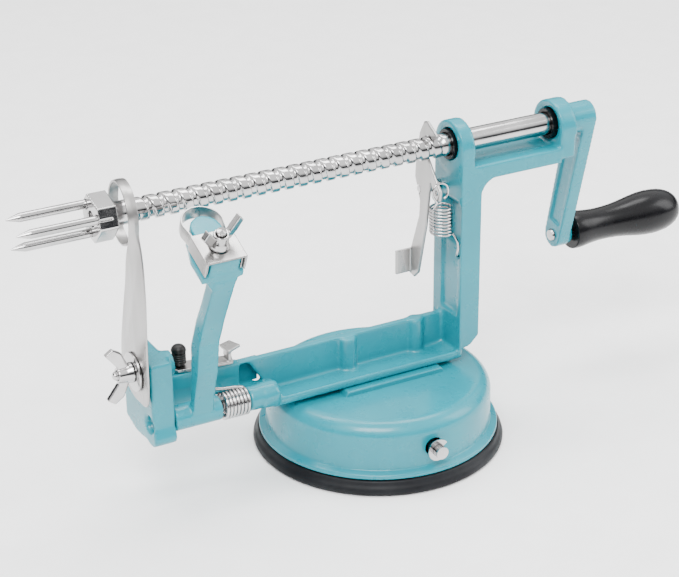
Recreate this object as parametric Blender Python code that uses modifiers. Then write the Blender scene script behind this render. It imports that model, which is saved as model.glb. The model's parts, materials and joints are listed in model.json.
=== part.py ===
"""Apple peeler corer: a cranked feed screw over a cast frame that stands on a vacuum base.

Metres, +Z up. The origin is on the table under the middle of the rubber foot, +X runs along the
feed screw from the apple fork to the crank, and -Y is the side of the cam shaft's short end.
"""

import math

import bmesh
import bpy
from mathutils import Matrix, Vector

MM = 0.001
GAP = 0.3 * MM

# Rubber cup and base drum
CUP_R = 55.0 * MM
CUP_H = 6.0 * MM
CUP_SKIN = 2.6 * MM
CUP_BOSS_R = 7.0 * MM
CUP_BOSS_TOP = 9.8 * MM
FLANGE_R = 52.3 * MM
DRUM_R = 49.2 * MM
DRUM_TOP = 30.0 * MM
DRUM_WALL = 2.2 * MM
DRUM_FILLET = 7.0 * MM
PAD_LEFT = -22.0 * MM
PAD_RIGHT = 24.0 * MM
PAD_HALF = 14.0 * MM
PAD_TOP = 32.1 * MM

# Cam, plunger and suction lever
CAM_X = -1.0 * MM
CAM_Z = 17.5 * MM
CAM_SHAFT_R = 2.8 * MM
CAM_R = 5.0 * MM
CAM_THROW = 2.0 * MM
CAM_PLAY = 0.7 * MM
CAM_THICK = 6.0 * MM
CAM_HOLE_R = 4.2 * MM
CAM_SHAFT_NEAR = -56.0 * MM
CLIP_Y = -52.6 * MM
CLIP_R = 4.9 * MM
PLUNGER_WALL = 2.0 * MM
LEVER_THICK = 2.0 * MM
LEVER_Y = 53.4 * MM
LEVER_LENGTH = 40.0 * MM
LEVER_HALF = 4.0 * MM
LEVER_DROP = 9.0
GRIP_LENGTH = 24.0 * MM

# Feed screw, its frame bearings and the fork
AXIS_Z = 129.5 * MM
SHAFT_R = 4.9 * MM
SHAFT_LEFT = -119.2 * MM
THREAD_START = -107.0 * MM
THREAD_END = 29.5 * MM
THREAD_PITCH = 6.35 * MM
THREAD_DEPTH = 0.85 * MM
THREAD_GROOVE = 3.0 * MM
BUSH_R = 6.5 * MM
BUSH_PROUD = 1.2 * MM
EYE_R = 11.4 * MM
EYE_DROP = 1.2 * MM
FRONT_EYE_X = 34.2 * MM
FRONT_EYE_W = 6.6 * MM
REAR_EYE_X = 84.3 * MM
REAR_EYE_W = 8.0 * MM
SPIGOT_R = 3.0 * MM
SPIGOT_LENGTH = 6.0 * MM
HUB_FRONT = -127.5 * MM
HUB_R = 9.9 * MM
HUB_CORNER = 25.5
FORK_TURN = 13.3
PIN_R = 1.85 * MM
PIN_CIRCLE = 6.6 * MM
PIN_TIP = -160.0 * MM
PIN_POINT = 5.3 * MM
PIN_SEAT = 5.5 * MM

# Crank and handle
CRANK_R = 63.5 * MM
CRANK_LEAN = 13.3
CRANK_HUB_R = 6.7 * MM
CRANK_LEFT = 93.0 * MM
CRANK_ARM_X = 99.5 * MM
CRANK_RIGHT = 105.7 * MM
CRANK_HALF = 5.7 * MM
HANDLE_LEFT = 109.0 * MM
HANDLE_RIGHT = 169.2 * MM
HANDLE_PIN_R = 2.2 * MM

# Frame casting
BEAM_BOTTOM = PAD_TOP + GAP
BEAM_HALF = 11.3 * MM
STEP = 0.25 * MM
FLOOR_THICK = 1.8 * MM
LIP_TOP = 36.3 * MM
WEB_FRONT = 3.0 * MM
WEB_BACK = 6.0 * MM
WEB_TOP = 49.5 * MM
BEAM_LEFT = -56.0 * MM
POST_LEFT = 34.5 * MM
POST_RIGHT = 44.3 * MM
BAR_BOTTOM = 114.7 * MM
BAR_TOP = 121.3 * MM
BLOCK_LEFT = -111.7 * MM
BLOCK_RIGHT = -102.0 * MM
BLOCK_FRONT = -13.0 * MM
BLOCK_BACK = 16.5 * MM
BLOCK_TOP = 66.6 * MM
BLOCK_BOTTOM = 28.8 * MM
BRIDGE_TOP = 51.0 * MM
BRIDGE_BOTTOM = 36.0 * MM
SCREW_SPOTS = ((-13.5 * MM, 4.1 * MM), (20.6 * MM, 3.6 * MM))
SCREW_Y = 3.5 * MM
SCREW_R = 1.6 * MM

# Peeling arm
ARM_Y = -8.8 * MM
ARM_Z = 38.6 * MM
ARM_ROD_R = 2.3 * MM
BARREL_R = 5.3 * MM
BARREL_LEFT = BLOCK_RIGHT + 0.4 * MM
BARREL_RIGHT = -80.8 * MM
ARM_LEFT = -94.2 * MM
ARM_RIGHT = -85.2 * MM
ARM_SPRING_R = 5.4 * MM
ARM_SPRING_WIRE = 0.75 * MM
LUG_LEFT = -67.5 * MM
HEAD_X = -90.8 * MM
HEAD_Y = -44.4 * MM
HEAD_Z = 121.3 * MM
HEAD_SLOPE = 23.3
BRACKET_HALF = 8.6 * MM
BRACKET_LENGTH = 15.9 * MM
BRACKET_DROP = 7.2 * MM
SHEET = 0.8 * MM
BLADE_SHEET = 0.6 * MM
BLADE_DEPTH = 6.4 * MM
BLADE_REACH = 31.0 * MM
PARING_STUD_R = 1.9 * MM
PARING_STUD_AT = 8.0 * MM
PARING_SLIDE = 2.0 * MM

# Slicing knife
KNIFE_X = -114.0 * MM
KNIFE_THICK = 1.0 * MM
RING_R = 13.2 * MM
RING_WIDTH = 4.3 * MM
STUD_Y = -3.5 * MM
STUD_Z = 61.5 * MM
STUD_R = 1.9 * MM
WASHER_R = 8.25 * MM
WASHER_THICK = 1.0 * MM

# Arm latch
LATCH_X = -90.4 * MM
LATCH_Y = 4.5 * MM
LATCH_THICK = 1.5 * MM
LATCH_SCREW_R = 1.5 * MM

# Feed release lever
RELEASE_X = 24.4 * MM
RELEASE_THICK = 1.2 * MM
RELEASE_PIN_Y = 8.0 * MM
RELEASE_PIN_Z = 108.0 * MM
RELEASE_PIN_R = 1.5 * MM
RELEASE_SPRING_X = 27.6 * MM
RELEASE_SPRING_Y = -5.2 * MM
RELEASE_SPRING_R = 4.9 * MM
RELEASE_WIRE = 0.5 * MM
LOOP_X = 27.0 * MM
LOOP_Y = -6.6 * MM
LOOP_Z = 107.9 * MM
LOOP_R = 3.9 * MM

FINISHES = {
    "turquoise_paint": ((0.2, 0.63, 0.69, 1.0), 0.3, 0.0),
    "bright_steel": ((0.8, 0.8, 0.82, 1.0), 0.18, 1.0),
    "blade_steel": ((0.62, 0.61, 0.6, 1.0), 0.35, 1.0),
    "black_rubber": ((0.012, 0.013, 0.016, 1.0), 0.55, 0.0),
    "black_plastic": ((0.015, 0.016, 0.018, 1.0), 0.3, 0.0),
    "black_steel": ((0.03, 0.03, 0.03, 1.0), 0.35, 0.8),
}


def clear_scene():
    for item in list(bpy.data.objects):
        bpy.data.objects.remove(item, do_unlink=True)


def new_collection(name, hidden=False):
    collection = bpy.data.collections.new(name)
    collection.hide_render = hidden
    bpy.context.scene.collection.children.link(collection)
    return collection


def finish(name):
    """The Principled material of one finish, made once."""
    if name in bpy.data.materials:
        return bpy.data.materials[name]
    colour, roughness, metallic = FINISHES[name]
    material = bpy.data.materials.new(name)
    material.use_nodes = True
    shader = material.node_tree.nodes["Principled BSDF"]
    shader.inputs["Base Color"].default_value = colour
    shader.inputs["Roughness"].default_value = roughness
    shader.inputs["Metallic"].default_value = metallic
    return material


def add(name, data, look=None, matrix=None):
    """Links an object: a part where it has a look, else a cutter or a piece to be joined."""
    item = bpy.data.objects.new(name, data)
    item.matrix_world = matrix if matrix else Matrix.Identity(4)
    if look:
        parts.objects.link(item)
        data.materials.append(finish(look))
    else:
        helpers.objects.link(item)
        item.hide_render = True
        item.display_type = "WIRE"
    return item


def facing_x(x=0.0, y=0.0, z=0.0):
    """Local x, y, z become the world's Y, Z, X, for plates and turned pieces along the screw."""
    return Matrix(((0, 0, 1, x), (1, 0, 0, y), (0, 1, 0, z), (0, 0, 0, 1)))


def facing_y(x=0.0, y=0.0, z=0.0):
    """Local x, y, z become the world's Z, X, Y."""
    return Matrix(((0, 1, 0, x), (0, 0, 1, y), (1, 0, 0, z), (0, 0, 0, 1)))


def upright():
    """Local x, y, z become X, Z, -Y, for outlines drawn as seen from the front."""
    return Matrix(((1, 0, 0, 0), (0, 0, -1, 0), (0, 1, 0, 0), (0, 0, 0, 1)))


def at(x=0.0, y=0.0, z=0.0):
    return Matrix.Translation((x, y, z))


def smooth(data, angle=35):
    data.shade_smooth()
    data.set_sharp_from_angle(angle=math.radians(angle))


def box(name, low, high, look=None, round_by=0.0, matrix=None):
    mesh = bmesh.new()
    bmesh.ops.create_cube(mesh, size=1.0)
    size = Vector(high) - Vector(low)
    middle = (Vector(high) + Vector(low)) / 2
    bmesh.ops.scale(mesh, vec=size, verts=mesh.verts)
    bmesh.ops.translate(mesh, vec=middle, verts=mesh.verts)
    data = bpy.data.meshes.new(name)
    mesh.to_mesh(data)
    mesh.free()
    item = add(name, data, look, matrix)
    if round_by:
        bevel = item.modifiers.new("edges", "BEVEL")
        bevel.width = round_by
        bevel.segments = 2
    return item


def rod(name, length, radius, look=None, matrix=None, sides=20, tip=None):
    """A cylinder or cone from local z = 0 up to z = length."""
    mesh = bmesh.new()
    end = radius if tip is None else tip
    bmesh.ops.create_cone(
        mesh, cap_ends=True, segments=sides, radius1=radius, radius2=end, depth=length
    )
    bmesh.ops.translate(mesh, vec=(0, 0, length / 2), verts=mesh.verts)
    data = bpy.data.meshes.new(name)
    mesh.to_mesh(data)
    mesh.free()
    smooth(data)
    return add(name, data, look, matrix)


def turned(name, profile, look=None, matrix=None, steps=32, ring=False):
    """A profile of (radius, height), down its outer side, turned round local z."""
    mesh = bmesh.new()
    points = [mesh.verts.new((radius, 0, height)) for radius, height in profile]
    for first, second in zip(points, points[1:]):
        mesh.edges.new((first, second))
    if ring:
        mesh.edges.new((points[-1], points[0]))
    data = bpy.data.meshes.new(name)
    mesh.to_mesh(data)
    mesh.free()
    item = add(name, data, look, matrix)
    screw = item.modifiers.new("turn", "SCREW")
    screw.steps = screw.render_steps = steps
    screw.use_merge_vertices = True
    screw.merge_threshold = 0.00001
    return item


def arc(centre, radius, start, end, steps):
    """Points on an arc, both ends included, angles in degrees."""
    angles = [math.radians(start + (end - start) * i / steps) for i in range(steps + 1)]
    return [(centre[0] + radius * math.cos(a), centre[1] + radius * math.sin(a)) for a in angles]


def as_mesh(item, look=None):
    """The same object as a mesh, its caps welded, so that it can be cut, joined or rounded."""
    bpy.context.view_layer.update()
    graph = bpy.context.evaluated_depsgraph_get()
    data = bpy.data.meshes.new_from_object(item.evaluated_get(graph))
    mesh = bmesh.new()
    mesh.from_mesh(data)
    bmesh.ops.remove_doubles(mesh, verts=mesh.verts, dist=0.000005)
    bmesh.ops.recalc_face_normals(mesh, faces=mesh.faces)
    mesh.to_mesh(data)
    mesh.free()
    data.materials.clear()
    name, matrix = item.name, item.matrix_world.copy()
    bpy.data.objects.remove(item, do_unlink=True)
    return add(name, data, look, matrix)


def plate(name, outline, low, high, look=None, matrix=None, holes=()):
    """A flat outline, with any holes, between local heights low and high."""
    curve = bpy.data.curves.new(name, "CURVE")
    curve.dimensions = "2D"
    curve.fill_mode = "BOTH"
    curve.extrude = (high - low) / 2
    for points in (outline, *holes):
        spline = curve.splines.new("POLY")
        spline.points.add(len(points) - 1)
        for point, (across, along) in zip(spline.points, points):
            point.co = (across, along, 0, 1)
        spline.use_cyclic_u = True
    matrix = (matrix if matrix else Matrix.Identity(4)) @ at(z=(low + high) / 2)
    return as_mesh(add(name, curve, None, matrix), look)


def wire(name, points, radius, look):
    """A round wire through the points, as a curve with filled caps."""
    curve = bpy.data.curves.new(name, "CURVE")
    curve.dimensions = "3D"
    curve.bevel_depth = radius
    curve.bevel_resolution = 1
    curve.use_fill_caps = True
    spline = curve.splines.new("POLY")
    spline.points.add(len(points) - 1)
    for point, place in zip(spline.points, points):
        point.co = (*place, 1)
    return add(name, curve, look)


def loft(name, sections, look=None):
    """A closed skin over four-cornered sections, for a strip that twists as it goes."""
    mesh = bmesh.new()
    rows = [[mesh.verts.new(corner) for corner in section] for section in sections]
    for row, following in zip(rows, rows[1:]):
        for i in range(4):
            j = (i + 1) % 4
            mesh.faces.new((row[i], row[j], following[j], following[i]))
    mesh.faces.new(rows[0])
    mesh.faces.new(rows[-1])
    bmesh.ops.recalc_face_normals(mesh, faces=mesh.faces)
    data = bpy.data.meshes.new(name)
    mesh.to_mesh(data)
    mesh.free()
    return add(name, data, look)


def combine(target, other, operation, solver):
    step = target.modifiers.new(operation.lower(), "BOOLEAN")
    step.operation = operation
    step.solver = solver
    step.object = other


def join(target, *others, solver="EXACT"):
    """MANIFOLD is for blocks that share planes, which the exact solver leaves open."""
    for other in others:
        combine(target, other, "UNION", solver)


def cut(target, *others, solver="EXACT"):
    for other in others:
        combine(target, other, "DIFFERENCE", solver)


def coil(centre, radius, turns, pitch, start=0.0, per_turn=12):
    """Points of a coil that climbs along local z from its centre, starting at an angle in degrees."""
    points = []
    for i in range(round(turns * per_turn) + 1):
        angle = math.radians(start) + 2 * math.pi * i / per_turn
        height = pitch * i / per_turn
        points.append(
            Vector((radius * math.cos(angle), radius * math.sin(angle), height)) + Vector(centre)
        )
    return points


# Base ------------------------------------------------------------------------------------------


def make_suction_cup():
    rim_in = FLANGE_R - 6 * MM
    turned(
        "suction_cup",
        [
            (0, CUP_BOSS_TOP),
            (CUP_BOSS_R, CUP_BOSS_TOP),
            (CUP_BOSS_R, 2.2 * MM + CUP_SKIN),
            (rim_in - 3 * MM, 1.4 * MM + CUP_SKIN),
            (rim_in, CUP_H),
            (FLANGE_R + 0.5 * MM, CUP_H),
            (CUP_R - 0.4 * MM, 2.6 * MM),
            (CUP_R, 1.3 * MM),
            (CUP_R - 0.6 * MM, 0),
            (0, 0),
        ],
        "black_rubber",
        steps=48,
    )


def make_base_housing():
    fillet = DRUM_FILLET
    top = arc((DRUM_R - fillet, DRUM_TOP - fillet), fillet, 90, 0, 4)
    inner = fillet - DRUM_WALL
    under = arc((DRUM_R - fillet, DRUM_TOP - fillet), inner, 0, 90, 3)
    bottom = CUP_H + GAP
    profile = [(0, DRUM_TOP), *top]
    profile += [(DRUM_R, bottom + 3 * MM), (FLANGE_R, bottom + 2 * MM), (FLANGE_R, bottom)]
    profile += [(DRUM_R - DRUM_WALL, bottom), *under, (0, DRUM_TOP - DRUM_WALL)]
    base = turned("base_housing", profile, "turquoise_paint", steps=48)
    pad = plate(
        "base_pad",
        [
            (PAD_LEFT - 2 * MM, DRUM_TOP - MM),
            (PAD_RIGHT + 2 * MM, DRUM_TOP - MM),
            (PAD_RIGHT, PAD_TOP),
            (PAD_LEFT, PAD_TOP),
        ],
        -PAD_HALF,
        PAD_HALF,
        matrix=upright(),
    )
    join(base, pad)
    across = rod("cam_hole", 2.2 * DRUM_R, CAM_HOLE_R, matrix=facing_y(CAM_X, -1.1 * DRUM_R, CAM_Z))
    cut(base, across)
    for i, (x, _) in enumerate(SCREW_SPOTS):
        spot = at(x, SCREW_Y, PAD_TOP - 8 * MM)
        hole = rod(f"base_screw_hole_{i}", 10 * MM, SCREW_R + GAP, matrix=spot)
        cut(base, hole)


def make_cam_shaft():
    far = LEVER_Y + LEVER_THICK + MM
    shaft = rod(
        "cam_shaft",
        far - CAM_SHAFT_NEAR,
        CAM_SHAFT_R,
        "bright_steel",
        facing_y(CAM_X, CAM_SHAFT_NEAR, CAM_Z),
    )
    cam = rod("cam", CAM_THICK, CAM_R, matrix=facing_y(CAM_X + CAM_THROW, -CAM_THICK / 2, CAM_Z))
    join(shaft, cam)
    groove = turned(
        "clip_groove",
        [(4 * MM, 0.5 * MM), (4 * MM, -0.5 * MM), (2.2 * MM, -0.5 * MM), (2.2 * MM, 0.5 * MM)],
        matrix=facing_y(CAM_X, CLIP_Y, CAM_Z),
        steps=20,
        ring=True,
    )
    cut(shaft, groove)
    clip_in = 2.2 * MM + GAP / 2
    clip = arc((0, 0), CLIP_R, 125, 415, 14)
    inner = arc((0, 0), clip_in, 415, 125, 14)
    plate(
        "shaft_clip",
        clip + inner,
        -0.3 * MM,
        0.3 * MM,
        "bright_steel",
        facing_y(CAM_X, CLIP_Y, CAM_Z),
    )


def make_suction_lever():
    drop = Matrix.Rotation(math.radians(LEVER_DROP), 4, "Z")
    place = facing_y(CAM_X, LEVER_Y, CAM_Z) @ drop
    end = arc((0, LEVER_LENGTH), LEVER_HALF, 0, 180, 6)
    near = arc((0, 0), LEVER_HALF, 180, 360, 8)
    eye = arc((0, 0), CAM_SHAFT_R + GAP, 0, 330, 11)
    plate("suction_lever", near + end, 0, LEVER_THICK, "bright_steel", place, [eye])
    skin = 1.3 * MM
    top = LEVER_LENGTH + LEVER_HALF + skin
    grip = box(
        "lever_grip",
        (-LEVER_HALF - skin, top - GRIP_LENGTH, -skin),
        (LEVER_HALF + skin, top, LEVER_THICK + skin),
        "black_plastic",
        1.2 * MM,
        place,
    )
    pocket = box(
        "grip_pocket",
        (-LEVER_HALF - GAP, top - GRIP_LENGTH - MM, -GAP),
        (LEVER_HALF + GAP, top - skin + GAP, LEVER_THICK + GAP),
        matrix=place,
    )
    cut(grip, pocket)


def make_plunger():
    bottom = CUP_BOSS_TOP + GAP
    window_low = CAM_Z - CAM_R - CAM_PLAY
    window_high = CAM_Z + CAM_R + CAM_PLAY
    half = CAM_R + CAM_THROW + 0.5 * MM
    plunger = box(
        "vacuum_plunger",
        (CAM_X - half - PLUNGER_WALL, -CAM_THICK / 2, bottom),
        (CAM_X + half + PLUNGER_WALL, CAM_THICK / 2, window_high + 1.4 * MM),
        "bright_steel",
    )
    window = box(
        "plunger_window",
        (CAM_X - half, -CAM_THICK, window_low),
        (CAM_X + half, CAM_THICK, window_high),
    )
    cut(plunger, window)


# Frame -----------------------------------------------------------------------------------------


def frame_pieces():
    """The blocks, ribs and cylinders that the casting is made of. Faces that meet are a STEP apart."""
    low, right = BEAM_BOTTOM, POST_RIGHT
    inner = 8 * MM
    corner = arc((right + inner, BAR_BOTTOM - inner), inner, 180, 90, 4)
    post = [
        (POST_LEFT - 12 * MM, low + STEP),
        (POST_LEFT - 4 * MM, low + STEP + 0.2 * MM),
        (POST_LEFT + 0.5 * MM, low + 4.5 * MM),
        (POST_LEFT + 5 * MM, low + 4.9 * MM),
        (right, low + 9.3 * MM),
        *corner,
        (REAR_EYE_X + 0.5 * MM, BAR_BOTTOM),
        (REAR_EYE_X + 0.5 * MM, BAR_TOP),
        (FRONT_EYE_X + FRONT_EYE_W - STEP, BAR_TOP),
        (FRONT_EYE_X + FRONT_EYE_W - STEP, AXIS_Z - 2 * MM),
        (FRONT_EYE_X + STEP, AXIS_Z - 2 * MM),
        (FRONT_EYE_X + STEP, BAR_TOP - 6 * MM),
        (POST_LEFT, BAR_TOP - 12 * MM),
        (POST_LEFT, low + 3 * MM),
        (POST_LEFT - 8 * MM, low + FLOOR_THICK - STEP),
    ]
    yield plate("post_and_bar", post, -BEAM_HALF, BEAM_HALF, matrix=upright())
    side = BEAM_HALF - STEP
    yield box("floor", (BEAM_LEFT, -side, low), (POST_LEFT + MM, side, low + FLOOR_THICK))
    lip_back = -BEAM_HALF + 1.8 * MM
    lip_low = (BEAM_LEFT + STEP, -side - STEP / 2, low + STEP)
    yield box("lip", lip_low, (POST_LEFT + 2 * MM, lip_back, LIP_TOP))
    yield box("web", (-75 * MM, WEB_FRONT, low + 1.2 * MM), (POST_LEFT + MM, WEB_BACK, WEB_TOP))
    for i, (x, radius) in enumerate(SCREW_SPOTS):
        height = WEB_TOP + (i - 0.5) * MM
        yield rod(f"boss_{i}", height - low - MM, radius, matrix=at(x, SCREW_Y, low + MM))
    front, back = WEB_FRONT - STEP, BLOCK_BACK - STEP
    bridge = [
        (BLOCK_RIGHT - MM, front),
        (-57 * MM, front),
        (-57 * MM, 9 * MM),
        (-72 * MM, 14 * MM),
        (-88 * MM, back),
        (BLOCK_RIGHT - MM, back),
    ]
    yield plate("bridge", bridge, BRIDGE_BOTTOM, BRIDGE_TOP - 5.5 * MM)
    front, back = front - STEP, back - STEP
    deck = [
        (BLOCK_RIGHT - 2 * MM, front),
        (-66 * MM, front),
        (-66 * MM, WEB_BACK - MM),
        (-72 * MM, 6.5 * MM),
        (-88 * MM, back),
        (BLOCK_RIGHT - 2 * MM, back),
    ]
    yield plate("bridge_deck", deck, BRIDGE_TOP - 7 * MM, BRIDGE_TOP)
    block = [
        (BLOCK_FRONT, BLOCK_TOP),
        (BLOCK_FRONT, ARM_Z),
        *arc((ARM_Y, BLOCK_BOTTOM + 6.3 * MM), 6.5 * MM, 200, 300, 4),
        (6 * MM, BLOCK_BOTTOM),
        (BLOCK_BACK, BLOCK_BOTTOM + 3 * MM),
        (BLOCK_BACK, BLOCK_TOP),
    ]
    yield plate("knife_block", block, BLOCK_LEFT, BLOCK_RIGHT, matrix=facing_x())
    yield rod("knife_boss", 4 * MM, 5.5 * MM, matrix=facing_x(BLOCK_RIGHT - MM, STUD_Y, STUD_Z))
    yield rod("pivot_lug", 13.5 * MM, 5.2 * MM, matrix=facing_x(LUG_LEFT, ARM_Y, ARM_Z))
    yield rod("pivot_collar", 5.5 * MM, 5.6 * MM, matrix=facing_x(-61 * MM, ARM_Y, ARM_Z))
    yield box("lug_rib", (-65.5 * MM, ARM_Y, 35 * MM), (-54.5 * MM, WEB_FRONT + MM, 39.5 * MM))
    foot_low = (BEAM_LEFT - MM, ARM_Y - STEP, low + MM)
    yield box("lug_foot", foot_low, (-51 * MM, WEB_FRONT + 1.5 * MM, 37 * MM))
    for name, left, width in (("front", FRONT_EYE_X, FRONT_EYE_W), ("rear", REAR_EYE_X, REAR_EYE_W)):
        place = facing_x(left, 0, AXIS_Z - EYE_DROP)
        yield rod(f"{name}_eye", width, EYE_R, matrix=place, sides=36)
    yield box(
        "rear_neck",
        (REAR_EYE_X + STEP, -side, BAR_BOTTOM + 1.3 * MM),
        (REAR_EYE_X + REAR_EYE_W - STEP, side, AXIS_Z - 2 * MM),
    )


def frame_cutters():
    """The bores, pockets and holes of the casting."""
    for name, left, width in (("front", FRONT_EYE_X, FRONT_EYE_W), ("rear", REAR_EYE_X, REAR_EYE_W)):
        place = facing_x(left - MM, 0, AXIS_Z)
        yield rod(f"{name}_bore", width + 2 * MM, BUSH_R + GAP, matrix=place, sides=32)
    yield rod(
        "bar_trough",
        REAR_EYE_X - FRONT_EYE_X - FRONT_EYE_W + 4 * STEP,
        SHAFT_R + 4.4 * MM,
        matrix=facing_x(FRONT_EYE_X + FRONT_EYE_W - 2 * STEP, 0, AXIS_Z),
        sides=28,
    )
    yield box(
        "post_panel",
        (POST_LEFT - MM, -8.7 * MM, 52 * MM),
        (POST_LEFT + MM, 4.4 * MM, 106 * MM),
    )
    yield box("spring_pocket", (POST_LEFT - MM, -10 * MM, 86 * MM), (38 * MM, 3 * MM, 104 * MM))
    yield rod("spring_eye", 6 * MM, 1.3 * MM, matrix=facing_x(POST_LEFT - MM, -8.5 * MM, 80.5 * MM))
    bore = SCREW_R + GAP
    for i, (x, _) in enumerate(SCREW_SPOTS):
        yield rod(f"frame_screw_hole_{i}", 14 * MM, bore, matrix=at(x, SCREW_Y, BEAM_BOTTOM - MM))
    rod_bore = ARM_ROD_R + GAP
    yield rod("rod_bore", 60 * MM, rod_bore, matrix=facing_x(BLOCK_LEFT - MM, ARM_Y, ARM_Z))
    yield rod("rod_mouth", 4 * MM, 3.7 * MM, matrix=facing_x(BLOCK_LEFT - MM, ARM_Y, ARM_Z))
    yield rod("stud_hole", 14 * MM, STUD_R + GAP, matrix=facing_x(BLOCK_LEFT - MM, STUD_Y, STUD_Z))
    latch_hole = LATCH_SCREW_R + GAP
    yield rod("latch_hole", 10 * MM, latch_hole, matrix=at(LATCH_X, LATCH_Y + 3 * MM, 42 * MM))
    yield rod(
        "release_pin_hole",
        6 * MM,
        RELEASE_PIN_R + GAP,
        matrix=facing_x(POST_LEFT - MM, RELEASE_PIN_Y, RELEASE_PIN_Z),
    )
    pocket = [(-65.2 * MM, 38 * MM), (-54 * MM, 38 * MM), (-60.5 * MM, 48 * MM), (-65.2 * MM, 48.4 * MM)]
    yield plate("web_pocket", pocket, -12.5 * MM, 0, matrix=upright())


def make_frame():
    pieces = list(frame_pieces())
    frame = pieces[0]
    helpers.objects.unlink(frame)
    parts.objects.link(frame)
    frame.name = "frame_casting"
    frame.hide_render = False
    frame.display_type = "TEXTURED"
    frame.data.materials.append(finish("turquoise_paint"))
    join(frame, *pieces[1:], solver="MANIFOLD")
    cut(frame, *frame_cutters(), solver="MANIFOLD")


def make_bushes():
    for name, left, width in (("front", FRONT_EYE_X, FRONT_EYE_W), ("rear", REAR_EYE_X, REAR_EYE_W)):
        inner = SHAFT_R + GAP
        turned(
            f"{name}_bush",
            [(BUSH_R, width), (BUSH_R, -BUSH_PROUD), (inner, -BUSH_PROUD), (inner, width)],
            "black_plastic",
            facing_x(left, 0, AXIS_Z),
            ring=True,
        )


def make_frame_screws():
    head_top = PAD_TOP - 4.4 * MM
    for i, (x, _) in enumerate(SCREW_SPOTS, 1):
        turned(
            f"frame_screw_{i}",
            [
                (0, 43 * MM),
                (SCREW_R, 42 * MM),
                (SCREW_R, head_top - GAP),
                (3 * MM, head_top - GAP),
                (3 * MM, head_top - 2 * MM),
                (0, head_top - 2.4 * MM),
            ],
            "bright_steel",
            at(x, SCREW_Y),
            steps=16,
        )


# Feed screw, fork and crank --------------------------------------------------------------------


def make_feed_shaft():
    place = facing_x(0, 0, AXIS_Z)
    crank_end = CRANK_LEFT + 9 * MM
    profile = [
        (0, crank_end),
        (SPIGOT_R, crank_end),
        (SPIGOT_R, CRANK_LEFT - GAP),
        (SHAFT_R, CRANK_LEFT - GAP),
        (SHAFT_R, SHAFT_LEFT),
        (SPIGOT_R, SHAFT_LEFT),
        (SPIGOT_R, SHAFT_LEFT - SPIGOT_LENGTH),
        (0, SHAFT_LEFT - SPIGOT_LENGTH),
    ]
    shaft = turned("feed_shaft", profile, "bright_steel", place, steps=12)
    neck_r = SHAFT_R - THREAD_DEPTH
    outer = SHAFT_R + MM
    per_turn = 12
    turns = (THREAD_END - THREAD_START) / THREAD_PITCH
    sections = []
    for i in range(round(turns * per_turn) + 1):
        angle = 2 * math.pi * i / per_turn
        across = Vector((math.cos(angle), math.sin(angle)))
        middle = THREAD_START + THREAD_PITCH * i / per_turn
        corners = []
        for radius, side in ((neck_r, -1), (outer, -1), (outer, 1), (neck_r, 1)):
            y, z = across * radius
            corners.append((middle + side * THREAD_GROOVE / 2, y, AXIS_Z + z))
        sections.append(corners)
    cut(shaft, loft("thread_groove", sections))


def make_fork():
    place = facing_x(0, 0, AXIS_Z)
    outline = []
    for side in range(3):
        middle = FORK_TURN + 30 + 120 * side
        for turn in (-HUB_CORNER, HUB_CORNER):
            angle = math.radians(middle + turn)
            outline.append((HUB_R * math.cos(angle), HUB_R * math.sin(angle)))
    hub_back = SHAFT_LEFT - GAP
    spots = []
    for side in range(3):
        angle = math.radians(FORK_TURN + 30 + 120 * side)
        spots.append((PIN_CIRCLE * math.cos(angle), PIN_CIRCLE * math.sin(angle)))
    hub = plate("fork_hub", outline, HUB_FRONT, hub_back, "bright_steel", place)
    cut(hub, rod("hub_bore", 20 * MM, SPIGOT_R + GAP, matrix=facing_x(HUB_FRONT - MM, 0, AXIS_Z)))
    for i, (y, z) in enumerate(spots, 1):
        seat = facing_x(HUB_FRONT - MM, y, AXIS_Z + z)
        cut(hub, rod(f"pin_seat_{i}", PIN_SEAT + MM + GAP, PIN_R + GAP, matrix=seat, sides=12))
        turned(
            f"fork_pin_{i}",
            [
                (0, HUB_FRONT + PIN_SEAT),
                (PIN_R, HUB_FRONT + PIN_SEAT),
                (PIN_R, PIN_TIP + PIN_POINT),
                (0, PIN_TIP),
            ],
            "bright_steel",
            facing_x(0, y, AXIS_Z + z),
            steps=12,
        )


def crank_turn():
    """Local y runs from the shaft's axis down the leaning crank arm."""
    lean = math.radians(CRANK_LEAN)
    return facing_x(0, 0, AXIS_Z) @ Matrix.Rotation(lean + math.pi, 4, "Z")


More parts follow.
